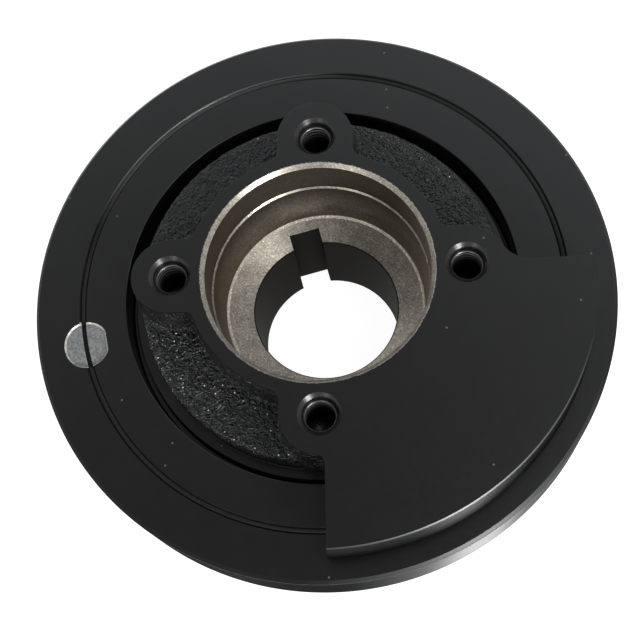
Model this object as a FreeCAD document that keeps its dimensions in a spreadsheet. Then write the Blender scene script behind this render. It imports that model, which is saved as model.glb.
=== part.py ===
import FreeCAD, Part
import math
import os

import Sketcher

# Harmonic balancer of a large V8 engine, lying with its crank axis upright and its front face up.
# Z = 0 is the front face of the hub, where the pulley seats, and every depth is measured down from it.
# X points at one of the four pulley bolt holes.

sizes = {
    # Inertia ring and the rubber that carries it
    "ring_radius": 82.5,
    "ring_width": 13.2,
    "ring_thickness": 20.0,
    "ring_drop": 14.2,
    "ring_front_edge": 1.0,
    "ring_back_edge": 0.8,
    "rubber_thickness": 1.3,
    "rubber_recess": 0.35,
    "bond_edge": 0.4,
    # Raised ring round the bore, with the pilot and the counterbore in it
    "pilot_radius": 31.1,
    "pilot_depth": 12.8,
    "face_width": 4.9,
    "face_flare": 0.7,
    "face_lap": 0.8,
    "mouth_bevel": 0.9,
    "mouth_bevel_depth": 1.2,
    "counterbore_step": 0.5,
    "step_depth": 0.5,
    "counterbore_taper": 1.2,
    "counterbore_depth": 29.4,
    "floor_bevel": 0.5,
    "floor_dish": 2.0,
    # Crank bore, its keyway and the seal nose round its far end
    "crank_bore_radius": 21.3,
    "bore_edge": 0.35,
    "hub_length": 64.4,
    "nose_wall": 9.2,
    "nose_root_length": 8.0,
    "nose_edge": 1.0,
    "lead_in": 1.2,
    "key_width": 9.2,
    "key_depth": 4.25,
    "key_start": 6.3,
    "key_angle": 104.0,
    # Pulley bolt holes and their bosses
    "bolt_reach": 4.6,
    "bolt_hole_radius": 4.8,
    "bolt_mouth_bevel": 0.9,
    "bolt_mouth_depth": 0.45,
    "bolt_hole_depth": 20.0,
    "drill_point": 2.8,
    "boss_radius": 10.75,
    "boss_root": 2.6,
    "draft_angle": 3.5,
    # Web, ledge and groove between the bosses and the rim, and the recess behind them
    "web_reach": 10.4,
    "web_depth": 11.0,
    "web_edge_bevel": 1.0,
    "ledge_width": 3.1,
    "ledge_depth": 19.2,
    "groove_width": 1.9,
    "groove_depth": 24.0,
    "groove_start": 1.0,
    "web_back_depth": 27.5,
    "back_step": 0.5,
    "back_bevel": 2.0,
    # Counterweight
    "weight_inset": 6.9,
    "weight_root_inset": 3.3,
    "undercut_reach": 4.0,
    "weight_side_offset": 1.2,
    "weight_top_offset": 0.25,
    "weight_bevel": 0.35,
    # Rounds of the casting
    "boss_corner_round": 3.0,
    "weight_top_round": 9.0,
    "weight_side_round": 2.2,
    "foot_round": 1.4,
    # Alignment spot across the bond line
    "spot_radius": 6.8,
    "spot_inset": 0.65,
    "spot_angle": 191.9,
    "spot_depth": 0.5,
}

# Radii that follow from the sizes above, worked out from the ring inwards and from the bore outwards
followers = {
    "rubber_outer_radius": "ring_radius - ring_width",
    "rim_radius": "rubber_outer_radius - rubber_thickness",
    "spot_circle_radius": "rubber_outer_radius - spot_inset",
    "weight_radius": "ring_radius - weight_inset",
    "weight_root_radius": "rubber_outer_radius - weight_root_inset",
    "counterbore_radius": "pilot_radius - counterbore_step - counterbore_taper",
    "hub_face_radius": "pilot_radius + face_width",
    "lap_radius": "hub_face_radius - face_lap",
    "boss_root_radius": "hub_face_radius - boss_root",
    "bolt_circle_radius": "hub_face_radius + bolt_reach",
    "web_radius": "bolt_circle_radius + web_reach",
    "groove_inner_radius": "web_radius + ledge_width",
    "rim_inner_radius": "groove_inner_radius + groove_width",
    "back_recess_outer_radius": "rim_inner_radius - back_step",
    "nose_radius": "crank_bore_radius + nose_wall",
    "key_inner": "crank_bore_radius - key_start",
    "key_reach": "crank_bore_radius + key_depth",
}

# How far off an edge may lie and still be the one looked for, and the shortest one that counts
NEAR = 0.05
SHORTEST = 1.0


def measure(text):
    """Value of a sum of named sizes, such as 'ring_drop + ring_thickness'."""
    total = 0.0
    sign = 1
    for word in text.split():
        if word == "+":
            sign = 1
        elif word == "-":
            sign = -1
        else:
            total += sign * sizes[word]
    return total


for name, text in followers.items():
    sizes[name] = measure(text)

doc = FreeCAD.newDocument("HarmonicBalancer")
sheet = doc.addObject("Spreadsheet::Sheet", "Sizes")
for row, (name, value) in enumerate(sizes.items(), start=1):
    sheet.set("A%d" % row, name)
    sheet.set("B%d" % row, "=" + followers[name] if name in followers else str(value))
    sheet.setAlias("B%d" % row, name)
doc.recompute()


def bound(text):
    """The same sum as an expression on the sheet."""
    return " ".join(word if word in "+-" else "Sizes." + word for word in text.split())


def new_body(label):
    body = doc.addObject("PartDesign::Body", label)
    body.Label = label
    return body


def origin_feature(body, role):
    return [item for item in body.Origin.OriginFeatures if item.Role == role][0]


def new_sketch(body, name, plane):
    sketch = body.newObject("Sketcher::SketchObject", name)
    sketch.AttachmentSupport = (origin_feature(body, plane), "")
    sketch.MapMode = "FlatFace"
    return sketch


def fix(sketch, kind, place, text):
    """Adds a constraint whose value is bound to the sheet."""
    index = sketch.addConstraint(Sketcher.Constraint(kind, *place, measure(text)))
    sketch.setExpression("Constraints[%d]" % index, bound(text))


def section(sketch, points):
    """Closed outline through (radius, depth) pairs bound to the sheet; an empty word is zero."""
    corners = [FreeCAD.Vector(measure(radius), -measure(depth), 0) for radius, depth in points]
    count = len(corners)
    for i in range(count):
        sketch.addGeometry(Part.LineSegment(corners[i], corners[(i + 1) % count]), False)
    for i in range(count):
        sketch.addConstraint(Sketcher.Constraint("Coincident", i, 2, (i + 1) % count, 1))
    for i, (radius, depth) in enumerate(points):
        if radius:
            fix(sketch, "DistanceX", (-1, 1, i, 1), radius)
        else:
            sketch.addConstraint(Sketcher.Constraint("PointOnObject", i, 1, -2))
        if depth:
            fix(sketch, "DistanceY", (i, 1, -1, 1), depth)
        else:
            sketch.addConstraint(Sketcher.Constraint("PointOnObject", i, 1, -1))


def revolve(body, name, points):
    sketch = new_sketch(body, name + "Section", "XZ_Plane")
    section(sketch, points)
    turned = body.newObject("PartDesign::Revolution", name)
    turned.Profile = sketch
    turned.ReferenceAxis = (origin_feature(body, "Z_Axis"), [""])
    turned.Angle = 360
    doc.recompute()
    return turned


def turn_out(body, name, sketch, axis):
    """Cuts a section away all round an axis."""
    before = body.Tip.Shape.Volume
    cut = body.newObject("PartDesign::Groove", name)
    cut.Profile = sketch
    cut.ReferenceAxis = axis
    cut.Angle = 360
    doc.recompute()
    assert cut.Shape.Volume < before, name
    return cut


def pocket_down(body, name, sketch, depth):
    before = body.Tip.Shape.Volume
    cut = body.newObject("PartDesign::Pocket", name)
    cut.Profile = sketch
    cut.Type = "Length"
    cut.setExpression("Length", bound(depth))
    doc.recompute()
    assert cut.Shape.Volume < before, name
    return cut


def spot_face(body, plane_drop):
    """Shallow round cut across the bond line, the same in each of the three pieces."""
    sketch = new_sketch(body, "SpotOutline" + body.Name, "XY_Plane")
    sketch.setExpression("AttachmentOffset.Base.z", "-(" + bound(plane_drop) + ")")
    turn = math.radians(sizes["spot_angle"])
    centre = FreeCAD.Vector(math.cos(turn), math.sin(turn), 0) * sizes["spot_circle_radius"]
    sketch.addGeometry(Part.Circle(centre, FreeCAD.Vector(0, 0, 1), sizes["spot_radius"]), False)
    sketch.addGeometry(Part.LineSegment(FreeCAD.Vector(0, 0, 0), centre), True)
    sketch.addConstraint(Sketcher.Constraint("Coincident", 1, 1, -1, 1))
    sketch.addConstraint(Sketcher.Constraint("Coincident", 1, 2, 0, 3))
    fix(sketch, "Radius", (0,), "spot_radius")
    fix(sketch, "Distance", (1,), "spot_circle_radius")
    index = sketch.addConstraint(Sketcher.Constraint("Angle", -1, 1, 1, 1, turn))
    sketch.setExpression("Constraints[%d]" % index, "Sizes.spot_angle * 1 deg")
    return pocket_down(body, "Spot" + body.Name, sketch, "spot_depth")


def quarter_turns(body, name, feature):
    pattern = body.newObject("PartDesign::PolarPattern", name)
    pattern.Originals = [feature]
    pattern.Axis = (origin_feature(body, "Z_Axis"), [""])
    pattern.Angle = 360
    pattern.Occurrences = 4
    body.Tip = pattern
    doc.recompute()
    return pattern


def edges_where(shape, test):
    return ["Edge%d" % number for number, edge in enumerate(shape.Edges, start=1) if test(edge)]


def round_edges(body, name, test, size, kind="PartDesign::Fillet"):
    """Fillet or chamfer, bound to the sheet, on the edges of the tip that pass the test."""
    base = body.Tip
    names = edges_where(base.Shape, test)
    assert names, name
    feature = body.newObject(kind, name)
    feature.Base = (base, names)
    feature.setExpression("Radius" if kind.endswith("Fillet") else "Size", bound(size))
    doc.recompute()
    return feature


def near(a, b):
    return abs(a - b) < NEAR


def edge_points(edge):
    first, last = edge.FirstParameter, edge.LastParameter
    return [edge.valueAt(first + (last - first) * share) for share in (0.0, 0.25, 0.5, 0.75, 1.0)]


def on_radius(radius, depth):
    """Test for an arc about the axis at this radius and depth."""
    def test(edge):
        return edge.Length > SHORTEST and all(
            near(math.hypot(p.x, p.y), measure(radius)) and near(p.z, -measure(depth))
            for p in edge_points(edge))
    return test


# Hub: the turned form of the casting, with the raised ring round the bore drafted as a cone
hub = new_body("hub")
revolve(hub, "Casting", [
    ("pilot_radius + mouth_bevel", ""),
    ("hub_face_radius", ""),
    ("hub_face_radius + face_flare", "web_depth"),
    ("web_radius", "web_depth"),
    ("web_radius", "ring_drop"),
    ("rim_radius - bond_edge", "ring_drop"),
    ("rim_radius", "ring_drop + bond_edge"),
    ("rim_radius", "ring_drop + ring_thickness - bond_edge"),
    ("rim_radius - bond_edge", "ring_drop + ring_thickness"),
    ("rim_inner_radius + bond_edge", "ring_drop + ring_thickness"),
    ("back_recess_outer_radius", "web_back_depth + back_bevel"),
    ("back_recess_outer_radius - back_bevel", "web_back_depth"),
    ("hub_face_radius", "web_back_depth"),
    ("nose_radius", "web_back_depth + nose_root_length"),
    ("nose_radius", "hub_length - nose_edge"),
    ("nose_radius - nose_edge", "hub_length"),
    ("crank_bore_radius + lead_in", "hub_length"),
    ("crank_bore_radius", "hub_length - lead_in"),
    ("crank_bore_radius", "counterbore_depth + floor_bevel + floor_dish + bore_edge"),
    ("crank_bore_radius + bore_edge", "counterbore_depth + floor_bevel + floor_dish"),
    ("counterbore_radius - floor_bevel", "counterbore_depth + floor_bevel"),
    ("counterbore_radius", "counterbore_depth"),
    ("pilot_radius - counterbore_step", "pilot_depth + step_depth"),
    ("pilot_radius", "pilot_depth"),
    ("pilot_radius", "mouth_bevel_depth"),
])

# Groove beside the rim, stepped by a ledge, all round except under the counterweight
start_turn = math.degrees(math.asin(sizes["weight_top_offset"] / sizes["rim_inner_radius"]))
end_turn = 270 + math.degrees(math.asin(sizes["weight_side_offset"] / sizes["rim_inner_radius"]))
START = "asin(Sizes.weight_top_offset / Sizes.rim_inner_radius)"
END = "(270 deg + asin(Sizes.weight_side_offset / Sizes.rim_inner_radius))"
groove_section = new_sketch(hub, "GrooveSection", "XZ_Plane")
middle_turn = (start_turn + end_turn) / 2
groove_section.AttachmentOffset = FreeCAD.Placement(
    FreeCAD.Vector(0, 0, 0), FreeCAD.Rotation(FreeCAD.Vector(0, 1, 0), middle_turn))
groove_section.setExpression("AttachmentOffset.Rotation.Angle", "(%s + %s) / 2" % (START, END))
section(groove_section, [
    ("web_radius - web_edge_bevel", "web_depth - groove_start"),
    ("web_radius - web_edge_bevel", "web_depth"),
    ("web_radius", "web_depth + web_edge_bevel"),
    ("web_radius", "ledge_depth"),
    ("groove_inner_radius", "ledge_depth"),
    ("groove_inner_radius", "groove_depth"),
    ("rim_inner_radius", "groove_depth"),
    ("rim_inner_radius", "web_depth - groove_start"),
])
solid_volume = hub.Tip.Shape.Volume
groove = hub.newObject("PartDesign::Groove", "RimGroove")
groove.Profile = groove_section
groove.ReferenceAxis = (origin_feature(hub, "Z_Axis"), [""])
groove.Midplane = True
groove.Angle = end_turn - start_turn
groove.setExpression("Angle", "%s - %s" % (END, START))
doc.recompute()
assert groove.Shape.Volume < solid_volume


def face_outline(name):
    """Outline of the four bosses and the quarter-circle counterweight, lapping into the raised ring."""
    sketch = new_sketch(hub, name, "XY_Plane")
    up = FreeCAD.Vector(0, 0, 1)
    ring = sizes["lap_radius"]
    pitch = sizes["bolt_circle_radius"]
    wide = sizes["boss_radius"]
    side = sizes["weight_side_offset"]
    top = sizes["weight_top_offset"]
    far = sizes["weight_radius"]
    top_round = sizes["weight_top_round"]
    side_round = sizes["weight_side_round"]
    corner = math.sqrt(ring ** 2 - wide ** 2)

    def point(x, y):
        return FreeCAD.Vector(x, y, 0)

    def line(x0, y0, x1, y1):
        return sketch.addGeometry(Part.LineSegment(point(x0, y0), point(x1, y1)), False)

    def arc(x, y, radius, first, last):
        circle = Part.Circle(point(x, y), up, radius)
        return sketch.addGeometry(Part.ArcOfCircle(circle, first, last), False)

    # Centres of the two hollow corners, each touching a boss and a straight side of the weight
    top_y = top + top_round
    top_x = pitch + math.sqrt((wide + top_round) ** 2 - top_y ** 2)
    top_angle = math.atan2(top_y, top_x - pitch)
    side_x = side - side_round
    side_y = -pitch - math.sqrt((wide + side_round) ** 2 - side_x ** 2)
    side_angle = math.atan2(side_y + pitch, side_x)

    quarter = math.pi / 2
    ring_angle = math.atan2(wide, corner)
    edges = [
        (arc(0, 0, ring, ring_angle, quarter - ring_angle), 1, 2),
        (line(wide, corner, wide, pitch), 1, 2),
        (arc(0, pitch, wide, 0, math.pi), 1, 2),
        (line(-wide, pitch, -wide, corner), 1, 2),
        (arc(0, 0, ring, quarter + ring_angle, 2 * quarter - ring_angle), 1, 2),
        (line(-corner, wide, -pitch, wide), 1, 2),
        (arc(-pitch, 0, wide, quarter, 3 * quarter), 1, 2),
        (line(-pitch, -wide, -corner, -wide), 1, 2),
        (arc(0, 0, ring, 2 * quarter + ring_angle, 3 * quarter - ring_angle), 1, 2),
        (line(-wide, -corner, -wide, -pitch), 1, 2),
        (arc(0, -pitch, wide, math.pi, 2 * math.pi + side_angle), 1, 2),
        (arc(side_x, side_y, side_round, 0, math.pi + side_angle), 2, 1),
        (line(side, side_y, side, -math.sqrt(far ** 2 - side ** 2)), 1, 2),
        (arc(0, 0, far, -quarter + math.asin(side / far), math.asin(top / far)), 1, 2),
        (line(math.sqrt(far ** 2 - top ** 2), top, top_x, top), 1, 2),
        (arc(top_x, top_y, top_round, math.pi + top_angle, 3 * quarter), 2, 1),
        (arc(pitch, 0, wide, top_angle, quarter), 1, 2),
        (line(pitch, wide, corner, wide), 1, 2),
    ]
    smooth = {(1, 2), (2, 3), (5, 6), (6, 7), (9, 10), (10, 11), (11, 12), (14, 15), (15, 16), (16, 17)}
    for i, (edge, first, last) in enumerate(edges):
        other, other_first, other_last = edges[(i + 1) % len(edges)]
        kind = "Tangent" if (i, i + 1) in smooth else "Coincident"
        sketch.addConstraint(Sketcher.Constraint(kind, edge, last, other, other_first))
    for i in (0, 4, 8, 13):
        sketch.addConstraint(Sketcher.Constraint("Coincident", edges[i][0], 3, -1, 1))
    for i in (4, 8):
        sketch.addConstraint(Sketcher.Constraint("Equal", edges[0][0], edges[i][0]))
    for i in (6, 10, 16):
        sketch.addConstraint(Sketcher.Constraint("Equal", edges[2][0], edges[i][0]))
    for i in (1, 3, 9, 12):
        sketch.addConstraint(Sketcher.Constraint("Vertical", edges[i][0]))
    for i in (5, 7, 14, 17):
        sketch.addConstraint(Sketcher.Constraint("Horizontal", edges[i][0]))
    for i, axis in ((2, -2), (6, -1), (10, -2), (16, -1)):
        sketch.addConstraint(Sketcher.Constraint("PointOnObject", edges[i][0], 3, axis))
    fix(sketch, "DistanceY", (-1, 1, edges[2][0], 3), "bolt_circle_radius")
    fix(sketch, "DistanceX", (edges[6][0], 3, -1, 1), "bolt_circle_radius")
    fix(sketch, "DistanceY", (edges[10][0], 3, -1, 1), "bolt_circle_radius")
    fix(sketch, "DistanceX", (-1, 1, edges[16][0], 3), "bolt_circle_radius")
    fix(sketch, "Radius", (edges[0][0],), "lap_radius")
    fix(sketch, "Radius", (edges[2][0],), "boss_radius")
    fix(sketch, "Radius", (edges[11][0],), "weight_side_round")
    fix(sketch, "Radius", (edges[15][0],), "weight_top_round")
    fix(sketch, "Radius", (edges[13][0],), "weight_radius")
    fix(sketch, "DistanceX", (-1, 1, edges[12][0], 1), "weight_side_offset")
    fix(sketch, "DistanceY", (-1, 1, edges[14][0], 1), "weight_top_offset")
    hole = sketch.addGeometry(Part.Circle(point(0, 0), up, sizes["boss_root_radius"]), False)
    sketch.addConstraint(Sketcher.Constraint("Coincident", hole, 3, -1, 1))
    fix(sketch, "Radius", (hole,), "boss_root_radius")
    return sketch


# The raised face drops with draft to the level of the rim
raised = hub.newObject("PartDesign::Pad", "RaisedFace")
raised.Profile = face_outline("FaceOutline")
raised.Reversed = True
raised.setExpression("Length", "Sizes.ring_drop")
raised.setExpression("TaperAngle", "Sizes.draft_angle")
doc.recompute()

# Outside its root the counterweight's underside is at web level, clear over the rubber and the inertia ring
undercut_section = new_sketch(hub, "UndercutSection", "XZ_Plane")
section(undercut_section, [
    ("weight_root_radius", "web_depth"),
    ("weight_root_radius", "ring_drop"),
    ("weight_radius + undercut_reach", "ring_drop"),
    ("weight_radius + undercut_reach", "web_depth"),
])
turn_out(hub, "WeightUndercut", undercut_section, (origin_feature(hub, "Z_Axis"), [""]))

# The outer half of each boss goes on down with the same draft to the ledge
skirt_outline = new_sketch(hub, "SkirtOutline", "XY_Plane")
skirt_outline.setExpression("AttachmentOffset.Base.z", "-Sizes.ring_drop")
skirt_radius = sizes["boss_radius"] + sizes["ring_drop"] * math.tan(math.radians(sizes["draft_angle"]))
skirt_centre = FreeCAD.Vector(sizes["bolt_circle_radius"], 0, 0)
skirt_end = FreeCAD.Vector(0, skirt_radius, 0)
skirt_circle = Part.Circle(skirt_centre, FreeCAD.Vector(0, 0, 1), skirt_radius)
skirt_outline.addGeometry(Part.ArcOfCircle(skirt_circle, -math.pi / 2, math.pi / 2), False)
skirt_outline.addGeometry(Part.LineSegment(skirt_centre + skirt_end, skirt_centre - skirt_end), False)
skirt_outline.addConstraint(Sketcher.Constraint("Coincident", 0, 2, 1, 1))
skirt_outline.addConstraint(Sketcher.Constraint("Coincident", 1, 2, 0, 1))
skirt_outline.addConstraint(Sketcher.Constraint("PointOnObject", 0, 3, -1))
skirt_outline.addConstraint(Sketcher.Constraint("PointOnObject", 0, 3, 1))
skirt_outline.addConstraint(Sketcher.Constraint("Vertical", 1))
fix(skirt_outline, "DistanceX", (-1, 1, 0, 3), "bolt_circle_radius")
skirt_index = skirt_outline.addConstraint(Sketcher.Constraint("Radius", 0, skirt_radius))
skirt_outline.setExpression(
    "Constraints[%d]" % skirt_index, "Sizes.boss_radius + Sizes.ring_drop * tan(Sizes.draft_angle * 1 deg)")
skirt = hub.newObject("PartDesign::Pad", "BossSkirt")
skirt.Profile = skirt_outline
skirt.Reversed = True
skirt.setExpression("Length", "Sizes.ledge_depth - Sizes.ring_drop")
skirt.setExpression("TaperAngle", "Sizes.draft_angle")
doc.recompute()
quarter_turns(hub, "BossSkirts", skirt)


def upright_corner(x, y):
    """Test for a wall edge that runs down to the web from this point on the hub face."""
    def test(edge):
        top = max(edge.Vertexes, key=lambda vertex: vertex.Z)
        runs_down = near(top.Z, 0.0) and edge.BoundBox.ZLength > sizes["web_depth"] / 2
        return runs_down and near(top.X, x) and near(top.Y, y)
    return test


corner = math.sqrt(sizes["hub_face_radius"] ** 2 - sizes["boss_radius"] ** 2)
boss_corners = [(x, y) for x in (-corner, corner) for y in (-sizes["boss_radius"], sizes["boss_radius"])]
boss_corners += [(y, x) for x, y in boss_corners]
corner_tests = [upright_corner(x, y) for x, y in boss_corners]
round_edges(hub, "BossCorners", lambda edge: any(test(edge) for test in corner_tests), "boss_corner_round")
round_edges(hub, "WeightBevel", on_radius("weight_radius", ""), "weight_bevel", "PartDesign::Chamfer")


def foot_edge(edge):
    """Test for the foot of the raised walls, where they stand on the web."""
    points = edge_points(edge)
    middle = math.hypot(points[2].x, points[2].y)
    return (all(near(p.z, -sizes["web_depth"]) for p in points)
            and middle < sizes["web_radius"] - sizes["web_edge_bevel"] - NEAR)


round_edges(hub, "FootRound", foot_edge, "foot_round")

# Tapped bolt hole, drawn at its thread's major radius with a bevelled mouth and a drilled end
hole_section = new_sketch(hub, "BoltHoleSection", "XZ_Plane")
hole_section.setExpression("AttachmentOffset.Base.x", "Sizes.bolt_circle_radius")
section(hole_section, [
    ("", ""),
    ("bolt_hole_radius + bolt_mouth_bevel", ""),
    ("bolt_hole_radius", "bolt_mouth_depth"),
    ("bolt_hole_radius", "bolt_hole_depth"),
    ("", "bolt_hole_depth + drill_point"),
])
hole = turn_out(hub, "BoltHole", hole_section, (hole_section, ["V_Axis"]))
quarter_turns(hub, "BoltHoles", hole)

# Keyway, right through the crank bore
key_outline = new_sketch(hub, "KeywayOutline", "XY_Plane")
key_outline.setExpression("AttachmentOffset.Rotation.Angle", "Sizes.key_angle * 1 deg")
key_corners = [FreeCAD.Vector(x, y, 0) for x, y in (
    (sizes["key_inner"], -sizes["key_width"] / 2), (sizes["key_reach"], -sizes["key_width"] / 2),
    (sizes["key_reach"], sizes["key_width"] / 2), (sizes["key_inner"], sizes["key_width"] / 2))]
for i in range(4):
    key_outline.addGeometry(Part.LineSegment(key_corners[i], key_corners[(i + 1) % 4]), False)
for i in range(4):
    key_outline.addConstraint(Sketcher.Constraint("Coincident", i, 2, (i + 1) % 4, 1))
for i, kind in ((0, "Horizontal"), (2, "Horizontal"), (3, "Vertical")):
    key_outline.addConstraint(Sketcher.Constraint(kind, i))
key_outline.addConstraint(Sketcher.Constraint("Symmetric", 1, 1, 1, 2, -1))
fix(key_outline, "DistanceX", (-1, 1, 0, 1), "key_inner")
fix(key_outline, "DistanceX", (-1, 1, 0, 2), "key_reach")
fix(key_outline, "DistanceY", (0, 2, 2, 1), "key_width")
pocket_down(hub, "Keyway", key_outline, "hub_length")
spot_face(hub, "ring_drop")

# Rubber, bonded between the rim and the inertia ring, its faces a little below theirs
elastomer = new_body("elastomer_ring")
revolve(elastomer, "Elastomer", [
    ("rim_radius", "ring_drop + rubber_recess"),
    ("rubber_outer_radius", "ring_drop + rubber_recess"),
    ("rubber_outer_radius", "ring_drop + ring_thickness - rubber_recess"),
    ("rim_radius", "ring_drop + ring_thickness - rubber_recess"),
])
spot_face(elastomer, "ring_drop")

# Inertia ring, flush with the rim in front and behind
inertia = new_body("inertia_ring")
revolve(inertia, "Inertia", [
    ("rubber_outer_radius + bond_edge", "ring_drop"),
    ("ring_radius - ring_front_edge", "ring_drop"),
    ("ring_radius", "ring_drop + ring_front_edge"),
    ("ring_radius", "ring_drop + ring_thickness - ring_back_edge"),
    ("ring_radius - ring_back_edge", "ring_drop + ring_thickness"),
    ("rubber_outer_radius + bond_edge", "ring_drop + ring_thickness"),
    ("rubber_outer_radius", "ring_drop + ring_thickness - bond_edge"),
    ("rubber_outer_radius", "ring_drop + bond_edge"),
])
spot_face(inertia, "ring_drop")

doc.recompute()
bodies = (hub, elastomer, inertia)
for item in doc.Objects:
    assert "Invalid" not in item.State and "Error" not in item.State, item.Name
for body in bodies:
    body.Placement = FreeCAD.Placement()
    assert not body.Shape.isNull() and body.Shape.isValid(), body.Label
    assert len(body.Shape.Solids) == 1, body.Label

os.makedirs("parts", exist_ok=True)
for body in bodies:
    body.Shape.exportStep("parts/%s.step" % body.Label)
    print(body.Label, round(body.Shape.Volume), "mm3")
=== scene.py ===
import math

import bmesh
import bpy
import numpy as np
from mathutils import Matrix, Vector, noise

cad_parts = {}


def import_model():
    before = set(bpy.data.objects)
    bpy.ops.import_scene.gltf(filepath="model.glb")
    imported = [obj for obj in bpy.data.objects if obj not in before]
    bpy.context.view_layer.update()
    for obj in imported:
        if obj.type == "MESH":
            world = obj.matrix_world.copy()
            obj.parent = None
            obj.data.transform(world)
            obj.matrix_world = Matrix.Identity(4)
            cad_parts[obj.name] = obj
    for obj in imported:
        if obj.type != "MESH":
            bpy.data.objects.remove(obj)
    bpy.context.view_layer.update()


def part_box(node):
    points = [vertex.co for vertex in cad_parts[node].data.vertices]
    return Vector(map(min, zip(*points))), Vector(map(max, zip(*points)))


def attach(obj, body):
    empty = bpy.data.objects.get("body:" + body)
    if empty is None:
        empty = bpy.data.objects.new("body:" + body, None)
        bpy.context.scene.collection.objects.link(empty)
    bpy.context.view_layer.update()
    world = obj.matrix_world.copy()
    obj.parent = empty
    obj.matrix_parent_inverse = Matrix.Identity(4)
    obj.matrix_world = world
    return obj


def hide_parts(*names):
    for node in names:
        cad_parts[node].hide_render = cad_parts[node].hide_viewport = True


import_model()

# Sizes in millimetres; Z = 0 is the hub's front face, and the outside sizes come from the frame
MM = 0.001

# Inertia ring
RING_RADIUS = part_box("inertia_ring")[1].x / MM
RING_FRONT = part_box("inertia_ring")[1].z / MM
RING_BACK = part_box("inertia_ring")[0].z / MM
RING_FRONT_EDGE = 1.0
RING_BACK_EDGE = 0.8

# Rubber
RUBBER_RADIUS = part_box("elastomer_ring")[1].x / MM
RUBBER_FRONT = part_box("elastomer_ring")[1].z / MM
RUBBER_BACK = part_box("elastomer_ring")[0].z / MM
RUBBER_CROWN_DEPTH = 0.16
RUBBER_SIDE_DEPTH = 0.3
RUBBER_SIDE_STEP = 0.08

# Hub: rim, ledge, groove and web
HUB_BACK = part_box("hub")[0].z / MM
RIM_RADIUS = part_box("hub")[1].y / MM
BOND_EDGE = 0.4
RIM_INNER = 56.0
LEDGE_Z = -19.2
LEDGE_RADIUS = 54.1
GROOVE_Z = -24.0
WEB_Z = -11.0
WEB_RADIUS = 51.0
WEB_BACK_Z = -27.5
BACK_RECESS_RADIUS = 55.5

# Hub: stepped counterbore, crank bore and nose
PILOT_RADIUS = 31.1
PILOT_Z = -12.8
MOUTH_RADIUS = PILOT_RADIUS + 1.0
MOUTH_DEPTH = 1.2
STEP = 0.5
STEP_RADIUS = PILOT_RADIUS - STEP
STEP_Z = PILOT_Z - STEP
COUNTERBORE_FOOT = 29.4
COUNTERBORE_Z = -29.4
FLOOR_BEVEL = 0.5
FLOOR_BEVEL_WIDTH = 0.75
FLOOR_DISH = 2.0
FLOOR_Z = COUNTERBORE_Z - FLOOR_BEVEL - FLOOR_DISH
CRANK_BORE = 21.3
BORE_EDGE = 0.35
LEAD_IN = 1.2
NOSE_WALL = 9.2
NOSE_RADIUS = CRANK_BORE + NOSE_WALL
NOSE_EDGE = 1.0
NOSE_ROOT = 8.0

# Keyway
KEY_WIDTH = 9.2
KEY_REACH = 25.55
KEY_TURN = math.radians(104.0)

# Raised ring, its four bosses and the tapped holes
HUB_RING = 36.0
PITCH_RADIUS = 40.6
BOLT_TURNS = [k * math.pi / 2 for k in range(4)]
BOLT_CENTRES = [(PITCH_RADIUS * math.cos(turn), PITCH_RADIUS * math.sin(turn)) for turn in BOLT_TURNS]
BOSS_RADIUS = 10.75
BOSS_CORNER = 3.0
DRAFT = math.tan(math.radians(3.5))
HOLE_RADIUS = 4.8
HOLE_MOUTH_DEPTH = 1.05
HOLE_MOUTH = HOLE_RADIUS + HOLE_MOUTH_DEPTH
HOLE_DEPTH = 20.0
DRILL_POINT = 2.8

# Threads, 16 to the inch
THREAD_PITCH = 25.4 / 16
THREAD_HALF_BASE = THREAD_PITCH * 0.48
THREAD_CREST = 4.1
THREAD_ROOT = 4.9
THREAD_END = 1.0 - HOLE_DEPTH
THREAD_FADE_IN, THREAD_FADE_OUT = 1.6, 2.5

# Counterweight: a quarter circle below y = WEIGHT_TOP and right of x = WEIGHT_SIDE
WEIGHT_RADIUS = 75.6
WEIGHT_SIDE = 1.2
WEIGHT_TOP = 0.25
WEIGHT_ROOT = 66.0
WEIGHT_BEVEL = 0.35
TOP_HOLLOW = 9.0
SIDE_HOLLOW = 2.2
EDGE_BREAK = 0.10

# Spot-face across the bond line
SPOT_RADIUS = 6.8
SPOT_CIRCLE = 68.65
SPOT_TURN = math.radians(191.9)
SPOT_CENTRE = (SPOT_CIRCLE * math.cos(SPOT_TURN), SPOT_CIRCLE * math.sin(SPOT_TURN))
SPOT_DEPTH = 0.5
SPOT_OUTER_LACK = 0.7
SPOT_FLARE = 0.4
SPOT_FLARE_SLOPE = 0.8
SPOT_TOP = -12.0
SPOT_FLAT = 5.7
CHATTER = 0.12
CHATTER_WAVES = 46

# Roundings of the turned corners
CRISP = 0.08
EASED = 0.1
CROWN_ROUND = 0.5
RING_CORNER_ROUND = 0.15
RING_BACK_ROUND = 0.2
WEB_EDGE_ROUND = 1.1
WEB_FOOT_ROUND = 0.35
LEDGE_ROUND = 0.2
GROOVE_ROUND = 0.5
RIM_ROUND = 0.3
BACK_ROUND = 2.0
NOSE_ROUND = 1.5

# The raised form and the turned core overlap, and both stand above the face until they are cut flush
CORE_RADIUS = HUB_RING - 1.0
CORE_TOP = 1.2
RAISED_INNER = CORE_RADIUS - 1.0
RAISED_TOP = 0.8
RAISED_LOW = GROOVE_Z - 0.6
UNDERCUT_RADIUS = 82.0
UNDERCUT_LOW = -30.0
CLEAR = 90.0

# The rounding at the foot of the cast walls dies out towards the web's edge
FOOT_ROUND = 1.4
FOOT_END = WEB_RADIUS - 0.6
FOOT_FADE = 2.0

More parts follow.
